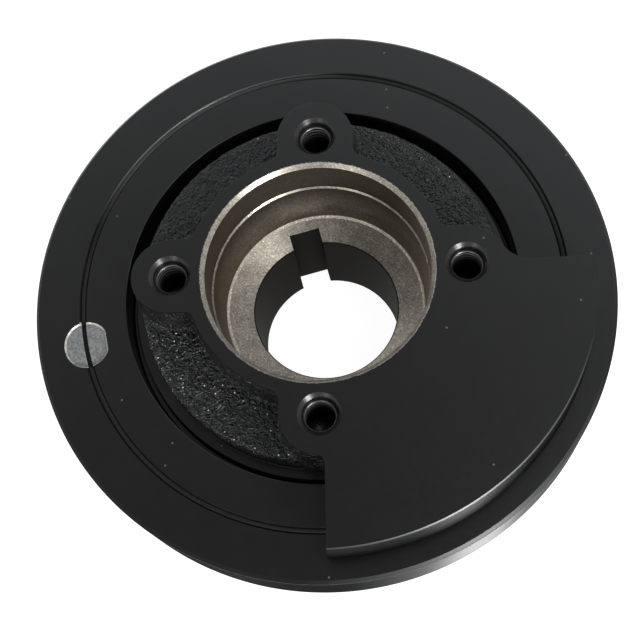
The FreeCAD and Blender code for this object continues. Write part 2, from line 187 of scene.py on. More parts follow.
# Relief of the cast skin; it grows over RELIEF_FADE from RELIEF_START off a machined edge
WORM_FINENESS, WORM_HEIGHT = 0.62, 0.22
SWELL_FINENESS, SWELL_HEIGHT = 0.16, 0.16
SWELL_PLACE = Vector((2.0, 9.0, 4.0))
RELIEF_START = 0.8
RELIEF_FADE = 2.0
WALL_RELIEF = 0.8
WALL_STRETCH = 1.3
CAST_LIMIT = 60.0

# Fineness of the meshes, and tolerances; the welds are in metres
HUB_AROUND = 576
RING_AROUND = 720
HOLE_AROUND = 96
SPOT_AROUND = 120
OUTLINE_STEP = 0.6
ROUND_STEP = 0.24
TINY_ROUND = 0.15
WEB_GRID = 0.48
BACK_GRID = 1.5
INNER_AROUND = 240
SAME_PLACE = 0.02
NEAR = 0.05
LEVEL = 0.95
WELD = 1e-7
SLIVER_WELD = 2e-7


# Mesh helpers

def make_object(name, verts, faces):
    """Mesh object from points in millimetres."""
    mesh = bpy.data.meshes.new(name)
    mesh.from_pydata((np.asarray(verts) * MM).tolist(), [], faces)
    mesh.validate()
    obj = bpy.data.objects.new(name, mesh)
    bpy.context.scene.collection.objects.link(obj)
    return obj


def tidy_normals(obj, weld=None):
    """Turns all faces outwards, after joining points closer than weld."""
    work = bmesh.new()
    work.from_mesh(obj.data)
    if weld:
        bmesh.ops.remove_doubles(work, verts=work.verts, dist=weld)
    bmesh.ops.recalc_face_normals(work, faces=work.faces)
    work.to_mesh(obj.data)
    work.free()


def strip_faces(levels, count, start=0):
    """Faces between closed rows of count points that follow one another from point start."""
    faces = []
    for level in range(levels - 1):
        row = start + level * count
        for i in range(count):
            j = (i + 1) % count
            faces.append((row + i, row + j, row + count + j, row + count + i))
    return faces


def rounded(corners):
    """Closed outline through (x, y, radius) corners, each rounded by its radius."""
    points = []
    count = len(corners)
    for i, (x, y, radius) in enumerate(corners):
        if radius <= 0:
            points.append((x, y))
            continue
        here = Vector((x, y))
        back = (Vector(corners[i - 1][:2]) - here).normalized()
        ahead = (Vector(corners[(i + 1) % count][:2]) - here).normalized()
        half = back.angle(ahead) / 2
        centre = here + (back + ahead).normalized() * (radius / math.sin(half))
        reach = radius / math.tan(half)
        first = here + back * reach - centre
        last = here + ahead * reach - centre
        sweep = first.angle_signed(last)
        steps = max(3 if radius > TINY_ROUND else 2, math.ceil(radius * abs(sweep) / ROUND_STEP))
        for k in range(steps + 1):
            turn = -sweep * k / steps
            points.append((centre.x + first.x * math.cos(turn) - first.y * math.sin(turn),
                           centre.y + first.x * math.sin(turn) + first.y * math.cos(turn)))
    return points


def divided(points, wanted):
    """The outline with extra points on each edge; wanted(x, y) gives the spacing there, or 0 for none."""
    fine = []
    for i, (x0, y0) in enumerate(points):
        x1, y1 = points[(i + 1) % len(points)]
        fine.append((x0, y0))
        spacing = wanted((x0 + x1) / 2, (y0 + y1) / 2)
        pieces = math.ceil(math.hypot(x1 - x0, y1 - y0) / spacing) if spacing else 1
        for k in range(1, pieces):
            fine.append((x0 + (x1 - x0) * k / pieces, y0 + (y1 - y0) * k / pieces))
    return fine


def lathe(name, outline, around, centre=(0.0, 0.0)):
    """Closed mesh turned about an upright axis from a closed (radius, height) outline."""
    outline = np.array(outline)
    count = len(outline)
    turns = np.linspace(0, 2 * math.pi, around, endpoint=False)
    verts = np.empty((around, count, 3))
    verts[:, :, 0] = centre[0] + np.outer(np.cos(turns), outline[:, 0])
    verts[:, :, 1] = centre[1] + np.outer(np.sin(turns), outline[:, 0])
    verts[:, :, 2] = outline[:, 1]
    i, j = np.meshgrid(np.arange(around), np.arange(count), indexing="ij")
    i_next, j_next = (i + 1) % around, (j + 1) % count
    corners = [i * count + j, i_next * count + j, i_next * count + j_next, i * count + j_next]
    faces = np.stack(corners, axis=-1)
    obj = make_object(name, verts.reshape(-1, 3), faces.reshape(-1, 4).tolist())
    tidy_normals(obj, WELD)
    return obj


def apply(obj, change):
    """Applies the modifier called change to obj."""
    bpy.context.view_layer.update()
    result = bpy.data.meshes.new_from_object(obj.evaluated_get(bpy.context.evaluated_depsgraph_get()))
    obj.modifiers.remove(change)
    old = obj.data
    obj.data = result
    bpy.data.meshes.remove(old)


def boolean(obj, tool, operation):
    """Applies a boolean of tool to obj and removes the tool."""
    change = obj.modifiers.new("change", "BOOLEAN")
    change.operation = operation
    change.solver = "MANIFOLD"
    change.object = tool
    apply(obj, change)
    bpy.data.objects.remove(tool)


def shells_of(work):
    """Lists of the faces that hang together in a bmesh."""
    shells, seen = [], set()
    for first in work.faces:
        if first in seen:
            continue
        seen.add(first)
        shell, waiting = [], [first]
        while waiting:
            face = waiting.pop()
            shell.append(face)
            for edge in face.edges:
                for other in edge.link_faces:
                    if other not in seen:
                        seen.add(other)
                        waiting.append(other)
        shells.append(shell)
    return shells


def drop_slivers(obj):
    """Removes the slivers without volume that the booleans leave beside the one real shell."""
    work = bmesh.new()
    work.from_mesh(obj.data)
    bmesh.ops.remove_doubles(work, verts=work.verts, dist=SLIVER_WELD)
    work.faces.ensure_lookup_table()
    shells = shells_of(work)
    largest = max(shells, key=len)
    slivers = [face for shell in shells if shell is not largest for face in shell]
    bmesh.ops.delete(work, geom=slivers, context="FACES")
    work.to_mesh(obj.data)
    work.free()


# The cast skin: a wrinkled, pitted surface left by the sand

def cast_relief(point, strength):
    """Height of the sand-cast skin in millimetres at a point in millimetres."""
    worms = noise.noise(Vector(point) * WORM_FINENESS, noise_basis="PERLIN_ORIGINAL")
    swell = noise.noise(Vector(point) * SWELL_FINENESS + SWELL_PLACE, noise_basis="PERLIN_ORIGINAL")
    return strength * (WORM_HEIGHT * worms + SWELL_HEIGHT * swell)


def rough_web(obj):
    """Gives the turned form its cast skin on the web, its outer edge and its back."""
    skin_foot = LEDGE_Z + RELIEF_START
    for vertex in obj.data.vertices:
        x, y, z = vertex.co / MM
        radius = math.hypot(x, y)
        if RAISED_INNER < radius < WEB_RADIUS + 0.1 and skin_foot < z < WEB_Z + 0.5:
            fade = min(1.0, (z - skin_foot) / RELIEF_FADE)
            height = cast_relief((x, y, z), fade)
            if z > WEB_Z - WEB_EDGE_ROUND * 0.6:
                vertex.co.z += height * MM
            else:
                vertex.co.x += height * x / radius * MM
                vertex.co.y += height * y / radius * MM
        elif HUB_RING + 0.6 < radius < BACK_RECESS_RADIUS - 0.3 and RING_BACK < z < WEB_BACK_Z + 0.3:
            vertex.co.z += cast_relief((x, y, z), WALL_RELIEF) * MM


# Outline of everything flush with the hub's face

def arc(x, y, radius, first, last):
    """Samples (x, y, outward x, outward y) along an arc; a hollow one has first > last."""
    steps = max(2, math.ceil(radius * abs(last - first) / OUTLINE_STEP))
    side = 1.0 if last > first else -1.0
    turns = [first + (last - first) * k / steps for k in range(steps + 1)]
    return [(x + radius * math.cos(t), y + radius * math.sin(t), side * math.cos(t), side * math.sin(t))
            for t in turns]


def line(x0, y0, x1, y1):
    """The same samples along a straight side."""
    length = math.hypot(x1 - x0, y1 - y0)
    steps = max(2, math.ceil(length / OUTLINE_STEP))
    out = ((y1 - y0) / length, -(x1 - x0) / length)
    return [(x0 + (x1 - x0) * k / steps, y0 + (y1 - y0) * k / steps, *out) for k in range(steps + 1)]


def turned(samples, turn):
    """The samples turned about the hub's axis."""
    c, s = math.cos(turn), math.sin(turn)
    return [(x * c - y * s, x * s + y * c, nx * c - ny * s, nx * s + ny * c) for x, y, nx, ny in samples]


def joined(samples):
    """Merges samples that share a place; at a true corner their directions become one mitred direction."""
    merged = []
    for x, y, nx, ny in samples + samples[:1]:
        if merged and math.hypot(x - merged[-1][0], y - merged[-1][1]) < SAME_PLACE:
            px, py, pnx, pny = merged[-1]
            scale = 1.0 / max(0.3, 1.0 + nx * pnx + ny * pny)
            merged[-1] = (px, py, (nx + pnx) * scale, (ny + pny) * scale)
        else:
            merged.append((x, y, nx, ny))
    if math.hypot(merged[0][0] - merged[-1][0], merged[0][1] - merged[-1][1]) < SAME_PLACE:
        merged.pop()
    return merged


def face_outline():
    """Closed list of samples, anticlockwise from boss 0's free side round to the counterweight."""
    quarter = math.pi / 2
    hollow_y = BOSS_RADIUS + BOSS_CORNER
    hollow_x = math.sqrt((HUB_RING + BOSS_CORNER) ** 2 - hollow_y ** 2)
    hollow_turn = math.atan2(hollow_y, hollow_x)
    approach = arc(hollow_x, -hollow_y, BOSS_CORNER, 2 * quarter - hollow_turn, quarter)
    approach += line(hollow_x, -BOSS_RADIUS, PITCH_RADIUS, -BOSS_RADIUS)
    leave = line(PITCH_RADIUS, BOSS_RADIUS, hollow_x, BOSS_RADIUS)
    leave += arc(hollow_x, hollow_y, BOSS_CORNER, 3 * quarter, 2 * quarter + hollow_turn)
    ring = arc(0, 0, HUB_RING, hollow_turn, quarter - hollow_turn)

    top_y = WEIGHT_TOP + TOP_HOLLOW
    top_x = PITCH_RADIUS + math.sqrt((BOSS_RADIUS + TOP_HOLLOW) ** 2 - top_y ** 2)
    top_turn = math.atan2(top_y, top_x - PITCH_RADIUS)
    side_x = WEIGHT_SIDE - SIDE_HOLLOW
    side_y = -PITCH_RADIUS - math.sqrt((BOSS_RADIUS + SIDE_HOLLOW) ** 2 - side_x ** 2)
    side_turn = math.atan2(side_y + PITCH_RADIUS, side_x)

    boss = approach + arc(PITCH_RADIUS, 0, BOSS_RADIUS, -quarter, quarter) + leave
    samples = arc(PITCH_RADIUS, 0, BOSS_RADIUS, top_turn, quarter) + leave
    for k in (1, 2):
        samples += turned(ring, (k - 1) * quarter)
        samples += turned(boss, k * quarter)
    samples += turned(ring, 2 * quarter) + turned(approach, 3 * quarter)
    samples += arc(0, -PITCH_RADIUS, BOSS_RADIUS, -2 * quarter, side_turn)
    samples += arc(side_x, side_y, SIDE_HOLLOW, 2 * quarter + side_turn, 0)
    samples += line(WEIGHT_SIDE, side_y, WEIGHT_SIDE, -math.sqrt(WEIGHT_RADIUS ** 2 - WEIGHT_SIDE ** 2))
    samples += arc(0, 0, WEIGHT_RADIUS, math.asin(WEIGHT_SIDE / WEIGHT_RADIUS) - quarter,
                   math.asin(WEIGHT_TOP / WEIGHT_RADIUS))
    samples += line(math.sqrt(WEIGHT_RADIUS ** 2 - WEIGHT_TOP ** 2), WEIGHT_TOP, top_x, WEIGHT_TOP)
    samples += arc(top_x, top_y, TOP_HOLLOW, 3 * quarter, 2 * quarter + top_turn)
    return joined(samples)


# Hub

def raised_levels(radius):
    """(heights, distances out) of each section of the raised form, from above its face down, for outline
    samples at the given radii. Edges are rounded, but the weight's rim has a flat bevel."""
    count = len(radius)
    on_rim = radius > WEIGHT_RADIUS - NEAR
    bevel = np.where(on_rim, WEIGHT_BEVEL, EDGE_BREAK)
    foot = FOOT_ROUND * np.clip((FOOT_END - radius) / FOOT_FADE, 0.0, 1.0)
    levels = [(np.full(count, RAISED_TOP), -bevel)]
    edge_steps, wall_steps, foot_steps = 4, 16, 5
    for k in range(edge_steps + 1):
        share = k / edge_steps
        turn = share * math.pi / 2
        round_z, round_out = -bevel * (1 - math.cos(turn)), -bevel * (1 - math.sin(turn))
        flat_z, flat_out = -bevel * share, -bevel * (1 - share)
        levels.append((np.where(on_rim, flat_z, round_z), np.where(on_rim, flat_out, round_out)))
    wall_foot = WEB_Z + FOOT_ROUND
    for k in range(1, wall_steps + 1):
        z = -bevel + (wall_foot + bevel) * k / wall_steps
        levels.append((z, -z * DRAFT))
    for k in range(1, foot_steps + 1):
        turn = k / foot_steps * math.pi / 2
        z = np.full(count, wall_foot - FOOT_ROUND * math.sin(turn))
        levels.append((z, -z * DRAFT + foot * (1 - math.cos(turn))))
    z = np.full(count, WEB_Z - 0.5)
    levels.append((z, -z * DRAFT + foot))
    for depth in (0.9, 3.0, 5.0, 7.0, 9.0, 11.0):
        z = np.full(count, WEB_Z - depth)
        levels.append((z, -z * DRAFT))
    z = np.full(count, RAISED_LOW)
    levels.append((z, -z * DRAFT))
    return levels


def close_ends(obj, heights):
    """Fills the open boundaries at the given heights."""
    work = bmesh.new()
    work.from_mesh(obj.data)
    for height in heights:
        edges = [edge for edge in work.edges if edge.is_boundary
                 and all(abs(vertex.co.z / MM - height) < 1e-3 for vertex in edge.verts)]
        bmesh.ops.triangle_fill(work, use_beauty=True, use_dissolve=False, edges=edges)
    bmesh.ops.recalc_face_normals(work, faces=work.faces)
    work.to_mesh(obj.data)
    work.free()


def raised_form():
    """The drafted solid under the hub's face, reaching above it and down into the turned form."""
    samples = face_outline()
    count = len(samples)
    place = np.array([s[:2] for s in samples])
    out = np.array([s[2:] for s in samples])
    radius = np.hypot(place[:, 0], place[:, 1])
    levels = raised_levels(radius)
    verts = []
    for z, offset in levels:
        points = place + out * offset[:, None]
        for (x, y), height, (nx, ny), size in zip(points, z, out, radius):
            fade = min(1.0, max(0.0, (-height - RELIEF_START) / RELIEF_FADE))
            bump = 0.0
            if fade > 0 and size < CAST_LIMIT:
                bump = cast_relief((x, y, height * WALL_STRETCH), WALL_RELIEF * fade)
            verts.append((x + nx * bump, y + ny * bump, height))
    faces = strip_faces(len(levels), count) + strip_faces(2, INNER_AROUND, start=len(verts))
    for z in (RAISED_TOP, RAISED_LOW):
        for k in range(INNER_AROUND):
            turn = 2 * math.pi * k / INNER_AROUND
            verts.append((RAISED_INNER * math.cos(turn), RAISED_INNER * math.sin(turn), z))
    obj = make_object("raised_form", verts, faces)
    close_ends(obj, (RAISED_TOP, RAISED_LOW))
    undercut = lathe("undercut", [
        (WEIGHT_ROOT, WEB_Z), (WEIGHT_ROOT, UNDERCUT_LOW),
        (UNDERCUT_RADIUS, UNDERCUT_LOW), (UNDERCUT_RADIUS, WEB_Z)], HUB_AROUND)
    boolean(obj, undercut, "DIFFERENCE")
    return obj


def hub_outline():
    """Turned section of the hub, from its mouth outwards, round the rim and the nose and up the bore."""
    return rounded([
        (MOUTH_RADIUS, CORE_TOP, 0), (CORE_RADIUS, CORE_TOP, 0), (CORE_RADIUS, WEB_Z, 0),
        (WEB_RADIUS, WEB_Z, WEB_EDGE_ROUND), (WEB_RADIUS, LEDGE_Z, WEB_FOOT_ROUND),
        (LEDGE_RADIUS, LEDGE_Z, LEDGE_ROUND), (LEDGE_RADIUS, GROOVE_Z, GROOVE_ROUND),
        (RIM_INNER, GROOVE_Z, GROOVE_ROUND), (RIM_INNER, RING_FRONT, RIM_ROUND),
        (RIM_RADIUS - BOND_EDGE, RING_FRONT, CRISP), (RIM_RADIUS, RING_FRONT - BOND_EDGE, CRISP),
        (RIM_RADIUS, RING_BACK + BOND_EDGE, CRISP), (RIM_RADIUS - BOND_EDGE, RING_BACK, CRISP),
        (RIM_INNER + BOND_EDGE, RING_BACK, RIM_ROUND), (BACK_RECESS_RADIUS, WEB_BACK_Z, BACK_ROUND),
        (HUB_RING, WEB_BACK_Z, NOSE_ROUND), (NOSE_RADIUS, WEB_BACK_Z - NOSE_ROOT, NOSE_ROUND),
        (NOSE_RADIUS, HUB_BACK + NOSE_EDGE, EASED), (NOSE_RADIUS - NOSE_EDGE, HUB_BACK, EASED),
        (CRANK_BORE + LEAD_IN, HUB_BACK, EASED), (CRANK_BORE, HUB_BACK + LEAD_IN, EASED),
        (CRANK_BORE, FLOOR_Z - BORE_EDGE, CRISP), (CRANK_BORE + BORE_EDGE, FLOOR_Z, CRISP),
        (COUNTERBORE_FOOT - FLOOR_BEVEL_WIDTH, COUNTERBORE_Z - FLOOR_BEVEL, EASED),
        (COUNTERBORE_FOOT, COUNTERBORE_Z, EASED),
        (STEP_RADIUS, STEP_Z, CRISP), (PILOT_RADIUS, PILOT_Z, CRISP),
        (PILOT_RADIUS, -MOUTH_DEPTH, EASED), (MOUTH_RADIUS, 0.0, 0),
    ])


def cast_spacing(radius, z):
    """How far apart the points of the section lie where the cast skin needs them."""
    if CORE_RADIUS < radius < WEB_RADIUS + 0.01 and LEDGE_Z < z < 0:
        return WEB_GRID
    if HUB_RING + 0.5 < radius < BACK_RECESS_RADIUS - 2 and abs(z - WEB_BACK_Z) < 0.1:
        return BACK_GRID
    return 0


def turned_form():
    """Everything on the hub that is a shape of revolution."""
    form = lathe("turned_form", divided(hub_outline(), cast_spacing), HUB_AROUND)
    rough_web(form)
    return form


def box_tool(name, low, high, turn=0.0):
    """Box cutter between two corners, turned about the hub's axis."""
    (x0, y0, z0), (x1, y1, z1) = low, high
    c, s = math.cos(turn), math.sin(turn)
    corners = ((x0, y0), (x1, y0), (x1, y1), (x0, y1))
    verts = [(x * c - y * s, x * s + y * c, z) for z in (z0, z1) for x, y in corners]
    faces = [(3, 2, 1, 0), (4, 5, 6, 7), (0, 1, 5, 4), (1, 2, 6, 5), (2, 3, 7, 6), (3, 0, 4, 7)]
    return make_object(name, verts, faces)


def spot_tool():
    """Cutter for the spot-face, with a broken edge and a flattened, chattered side towards the hub."""
    inward = SPOT_TURN + math.pi
    top_flare = SPOT_FLARE + SPOT_FLARE_SLOPE * (SPOT_TOP - RING_FRONT)
    verts = []
    for z, grow in ((RING_FRONT - SPOT_DEPTH, 0.0), (RING_FRONT, SPOT_FLARE), (SPOT_TOP, top_flare)):
        for k in range(SPOT_AROUND):
            turn = 2 * math.pi * k / SPOT_AROUND
            reach = SPOT_RADIUS - SPOT_FLARE
            limit = SPOT_FLAT + CHATTER * math.sin(turn * CHATTER_WAVES)
            ahead = math.cos(turn)
            if ahead * reach > limit:
                reach = limit / ahead
            elif ahead < 0:
                reach -= SPOT_OUTER_LACK * ahead ** 2
            reach += grow
            verts.append((SPOT_CENTRE[0] + reach * math.cos(turn + inward),
                          SPOT_CENTRE[1] + reach * math.sin(turn + inward), z))
    faces = [tuple(range(SPOT_AROUND - 1, -1, -1)), tuple(range(2 * SPOT_AROUND, 3 * SPOT_AROUND))]
    return make_object("spot_tool", verts, faces + strip_faces(3, SPOT_AROUND))


def drill_tool(centre):
    """Drill with its point and a countersink, reaching above the face."""
    return lathe("drill", [
        (0, 1.0), (HOLE_MOUTH, 1.0), (HOLE_MOUTH, 0.0), (HOLE_RADIUS, -HOLE_MOUTH_DEPTH),
        (HOLE_RADIUS, -HOLE_DEPTH), (0, -HOLE_DEPTH - DRILL_POINT)], HOLE_AROUND, centre)


def hub_casting():
    """The hub: turned form and raised form in one, cut flush, drilled, keyed and spot-faced."""
    hub = turned_form()
    hub.name = "hub_casting"
    boolean(hub, raised_form(), "UNION")
    boolean(hub, box_tool("above", (-CLEAR, -CLEAR, 0), (CLEAR, CLEAR, 5)), "DIFFERENCE")
    for centre in BOLT_CENTRES:
        boolean(hub, drill_tool(centre), "DIFFERENCE")
    key_low = (10.0, -KEY_WIDTH / 2, HUB_BACK - 1)
    key_high = (KEY_REACH, KEY_WIDTH / 2, COUNTERBORE_Z + 1)
    boolean(hub, box_tool("key", key_low, key_high, KEY_TURN), "DIFFERENCE")
    boolean(hub, spot_tool(), "DIFFERENCE")
    drop_slivers(hub)
    return hub


# Rubber, inertia ring and threads

def bond_profile():
    """Rubber: a low crown between the two metal edges, with a dark step down at each side."""
    outer, inner = RUBBER_RADIUS, RIM_RADIUS
    crown, side = RING_FRONT - RUBBER_CROWN_DEPTH, RUBBER_FRONT - RUBBER_SIDE_DEPTH
    return rounded([
        (inner, side, 0), (inner + RUBBER_SIDE_STEP, crown, CROWN_ROUND),
        (outer - RUBBER_SIDE_STEP, crown, CROWN_ROUND), (outer, side, 0),
        (outer, RUBBER_BACK, EASED), (inner, RUBBER_BACK, EASED)])


def rubber_band():
    """The bonded rubber ring, cut by the spot-face."""
    band = lathe("rubber_band", bond_profile(), RING_AROUND)
    boolean(band, spot_tool(), "DIFFERENCE")
    drop_slivers(band)
    return band


def inertia_ring_detail():
    """The outer ring, cut by the spot-face."""
    outline = rounded([
        (RUBBER_RADIUS, RING_FRONT - BOND_EDGE, CRISP), (RUBBER_RADIUS + BOND_EDGE, RING_FRONT, CRISP),
        (RING_RADIUS - RING_FRONT_EDGE, RING_FRONT, RING_CORNER_ROUND),
        (RING_RADIUS, RING_FRONT - RING_FRONT_EDGE, RING_CORNER_ROUND),
        (RING_RADIUS, RING_BACK + RING_BACK_EDGE, RING_BACK_ROUND),
        (RING_RADIUS - RING_BACK_EDGE, RING_BACK, RING_BACK_ROUND),
        (RUBBER_RADIUS + BOND_EDGE, RING_BACK, CRISP), (RUBBER_RADIUS, RING_BACK + BOND_EDGE, CRISP)])
    ring = lathe("inertia_ring_detail", outline, RING_AROUND)
    boolean(ring, spot_tool(), "DIFFERENCE")
    drop_slivers(ring)
    return ring


def bolt_threads():
    """One rounded ridge wound down the wall of each tapped hole, fading in below the countersink."""
    across, per_turn = 9, 56
    first = -HOLE_MOUTH_DEPTH - THREAD_HALF_BASE * 0.3
    steps = int((first - THREAD_END - THREAD_HALF_BASE) / THREAD_PITCH * per_turn)
    verts, faces = [], []
    for x, y in BOLT_CENTRES:
        base = len(verts)
        for k in range(steps + 1):
            turn = 2 * math.pi * k / per_turn
            middle = first - THREAD_PITCH * k / per_turn
            fade_in = 0.02 + k / per_turn * THREAD_FADE_IN
            fade_out = 0.02 + (steps - k) / per_turn * THREAD_FADE_OUT
            full_height = (THREAD_ROOT - THREAD_CREST) * min(1.0, fade_in, fade_out)
            for i in range(across):
                share = 2.0 * i / (across - 1) - 1.0
                radius = THREAD_ROOT - full_height * (0.5 + 0.5 * math.cos(math.pi * share))
                z = middle - THREAD_HALF_BASE * share
                verts.append((x + radius * math.cos(turn), y + radius * math.sin(turn), z))
        for k in range(steps):
            for i in range(across):
                a, b = base + k * across + i, base + k * across + (i + 1) % across
                faces.append((a, b, b + across, a + across))
        last = base + steps * across
        faces.append(tuple(range(base, base + across)))
        faces.append(tuple(range(last + across - 1, last - 1, -1)))
    threads = make_object("bolt_threads", verts, faces)
    tidy_normals(threads)
    return threads


# Materials: colours are linear, and every pattern is in millimetres on the part itself

# Turn of the two sides in line with the low lamp, where highlights and sheen are painted in
LIT_SIDES_TURN = math.radians(-58.0)

PAINT = (0.0022, 0.0022, 0.0024)
PAINT_CLOUD = (0.0042, 0.0041, 0.0042)
PAINT_DUST = (0.065, 0.063, 0.060)
PAINT_CHIP = (0.60, 0.56, 0.49)
CAST_PAINT = (0.0022, 0.0021, 0.0021)
CAST_WORN = (0.007, 0.0065, 0.006)
# Colour of the painted glints on the cast skin
CAST_PAINTED_GLINT = (0.55, 0.52, 0.48)
IRON_WARM = (0.26, 0.23, 0.185)
IRON_PALE = (0.36, 0.33, 0.28)
IRON_BRIGHT = (0.66, 0.62, 0.55)
IRON_PIT = (0.13, 0.115, 0.095)
IRON_LINE = (0.10, 0.085, 0.065)
IRON_STAIN = (0.10, 0.075, 0.05)
IRON_TINT = (0.78, 0.70, 0.60, 1.0)
NO_TINT = (0.0, 0.0, 0.0, 1.0)


def grey(level):
    return (level, level, level)


class Nodes:
    """Short calls that add nodes to a tree; a value may be a socket, a number or a tuple."""

    def __init__(self, tree):
        self.tree = tree

    def node(self, kind, **settings):
        node = self.tree.nodes.new(kind)
        for key, value in settings.items():
            setattr(node, key, value)
        return node

    def link(self, source, target):
        if isinstance(source, bpy.types.NodeSocket):
            self.tree.links.new(source, target)
        elif source is not None:
            target.default_value = source

    def math(self, operation, a, b=None):
        node = self.node("ShaderNodeMath", operation=operation)
        self.link(a, node.inputs[0])
        self.link(b, node.inputs[1])
        return node.outputs[0]

    def vector_math(self, operation, a, b=None, output=0):
        node = self.node("ShaderNodeVectorMath", operation=operation)
        self.link(a, node.inputs[0])
        self.link(grey(b) if isinstance(b, float) else b, node.inputs[1])
        return node.outputs[output]

    def plus(self, a, b):
        return self.math("ADD", a, b)

    def times(self, a, b):
        return self.math("MULTIPLY", a, b)

    def inverse(self, share):
        return self.math("SUBTRACT", 1.0, share)

    def shaded(self, colour, amount):
        return self.vector_math("MULTIPLY", colour, amount)

    def step(self, value, low, high, curve="SMOOTHSTEP"):
        """0 below low, 1 above high, and along the curve between."""
        node = self.node("ShaderNodeMapRange", interpolation_type=curve)
        self.link(value, node.inputs["Value"])
        node.inputs["From Min"].default_value = low
        node.inputs["From Max"].default_value = high
        return node.outputs["Result"]

    def span(self, value, low, high):
        """Maps 0..1 to low..high."""
        node = self.node("ShaderNodeMapRange")
        self.link(value, node.inputs["Value"])
        node.inputs["To Min"].default_value = low
        node.inputs["To Max"].default_value = high
        return node.outputs["Result"]

    def mix(self, share, a, b):
        node = self.node("ShaderNodeMix", data_type="RGBA")
        self.link(share, node.inputs["Factor"])
        self.link(a + (1.0,) if isinstance(a, tuple) else a, node.inputs[6])
        self.link(b + (1.0,) if isinstance(b, tuple) else b, node.inputs[7])
        return node.outputs[2]


class Graph(Nodes):
    """A material built around one Principled shader, with the patterns that the part's surfaces share."""

    def __init__(self, name):
        self.material = bpy.data.materials.new(name)
        self.material.use_nodes = True
        super().__init__(self.material.node_tree)
        self.shader = self.tree.nodes["Principled BSDF"]
        self.place = self.shaded(self.node("ShaderNodeTexCoord").outputs["Object"], 1.0 / MM)
        parts = self.node("ShaderNodeSeparateXYZ")
        self.link(self.place, parts.inputs[0])
        self.x, self.y, self.z = parts.outputs
        flat = self.vector_math("MULTIPLY", self.place, (1, 1, 0))
        self.radius = self.vector_math("LENGTH", flat, output=1)

    def noise(self, scale, detail=2.0, roughness=0.5, distortion=0.0, place=None):
        """Noise with features about 1/scale millimetres apart."""
        node = self.node("ShaderNodeTexNoise")
        self.link(place or self.place, node.inputs["Vector"])
        node.inputs["Scale"].default_value = scale
        node.inputs["Detail"].default_value = detail
        node.inputs["Roughness"].default_value = roughness
        node.inputs["Distortion"].default_value = distortion
        return node.outputs["Fac"]

    def lathe_lines(self, fineness):
        """Fine rings left by the lathe tool."""
        section = self.node("ShaderNodeCombineXYZ")
        self.link(self.times(self.radius, fineness), section.inputs[0])
        self.link(self.times(self.z, fineness), section.inputs[1])
        return self.noise(1.0, 3.0, 0.65, place=section.outputs[0])

    def specks(self, scale, size, share):
        """1 on small specks that lie on level faces, in the given share of cells 1/scale millimetres wide."""
        cells = self.node("ShaderNodeTexVoronoi", voronoi_dimensions="2D")
        self.link(self.place, cells.inputs["Vector"])
        cells.inputs["Scale"].default_value = scale
        chosen = self.math("LESS_THAN", cells.outputs["Color"], share)
        near = self.math("LESS_THAN", cells.outputs["Distance"], size)
        facing = self.node("ShaderNodeSeparateXYZ")
        self.link(self.node("ShaderNodeTexCoord").outputs["Normal"], facing.inputs[0])
        level = self.math("GREATER_THAN", facing.outputs[2], 0.75)
        return self.times(self.times(chosen, near), level)

    def lit_sides(self, half_width):
        """1 on the two sides of the part along the turn of the lit sides above, 0 beyond half_width degrees
        from them: the mask for painted highlights and painted sheen.
        """
        along = self.plus(self.times(self.x, math.cos(LIT_SIDES_TURN)),
                          self.times(self.y, math.sin(LIT_SIDES_TURN)))
        share = self.math("ABSOLUTE", self.math("DIVIDE", along, self.radius))
        none, full = math.radians(half_width), math.radians(half_width * 0.35)
        return self.step(share, math.cos(none), math.cos(full))

    def bump(self, height, distance):
        """Fine relief, height 0..1 standing distance millimetres high."""
        node = self.node("ShaderNodeBump")
        node.inputs["Distance"].default_value = distance * MM
        self.link(height, node.inputs["Height"])
        self.link(node.outputs[0], self.shader.inputs["Normal"])

    def turned_grain(self, amount):
        """Spreads reflections across the marks that the lathe tool left round the axis."""
        tangent = self.node("ShaderNodeTangent", direction_type="RADIAL", axis="Z")
        self.link(tangent.outputs[0], self.shader.inputs["Tangent"])
        self.shader.inputs["Anisotropic"].default_value = amount
        self.shader.inputs["Anisotropic Rotation"].default_value = 0.25

    def finish(self, colour, roughness, metallic=0.0, specular=0.5):
        self.link(colour, self.shader.inputs["Base Color"])
        self.link(roughness, self.shader.inputs["Roughness"])
        self.link(metallic, self.shader.inputs["Metallic"])
        self.link(specular, self.shader.inputs["Specular IOR Level"])
        return self.material


def satin_black(name, bare_inside=None):
    """Black paint over turned iron; inside the given radius the paint stops at a ragged edge."""
    g = Graph(name)
    colour = g.mix(g.noise(0.12, 4.0, 0.6), PAINT, PAINT_CLOUD)
    colour = g.mix(g.specks(0.16, 0.045, 0.16), colour, PAINT_DUST)
    roughness = g.span(g.noise(0.6, 4.0, 0.6), 0.18, 0.27)
    metallic = 0.0
    if bare_inside:
        ragged = g.plus(g.radius, g.span(g.noise(1.4, 5.0, 0.8), -0.75, 0.75))
        metallic = g.inverse(g.step(ragged, bare_inside - 0.06, bare_inside + 0.06))
        colour = g.mix(metallic, colour, PAINT_CHIP)
    g.bump(g.noise(1.7, 3.0, 0.6), 0.006)
    return g.finish(colour, roughness, metallic, 0.55)


def cast_black():
    """The same paint over the sand-cast skin, worn thin on its grains, with painted glints: bright specks,
    thicker on the low side.
    """
    g = Graph("cast_black")
    worms = g.step(g.noise(0.52, 1.5, 0.5, 1.8), 0.38, 0.62)
    grains = g.noise(1.9, 3.0, 0.6)
    colour = g.mix(g.step(grains, 0.55, 0.75), CAST_PAINT, CAST_WORN)
    # Painted glints: bright specks, more of them towards the low side
    low_side = g.step(g.times(g.y, -1.0), -12.0, 12.0)
    colour = g.mix(g.specks(0.45, 0.085, g.span(low_side, 0.04, 0.30)), colour, CAST_PAINTED_GLINT)
    g.bump(g.plus(g.times(worms, 0.75), g.times(grains, 0.25)), 0.9)
    return g.finish(colour, g.span(grains, 0.20, 0.36), 0.0, 0.32)


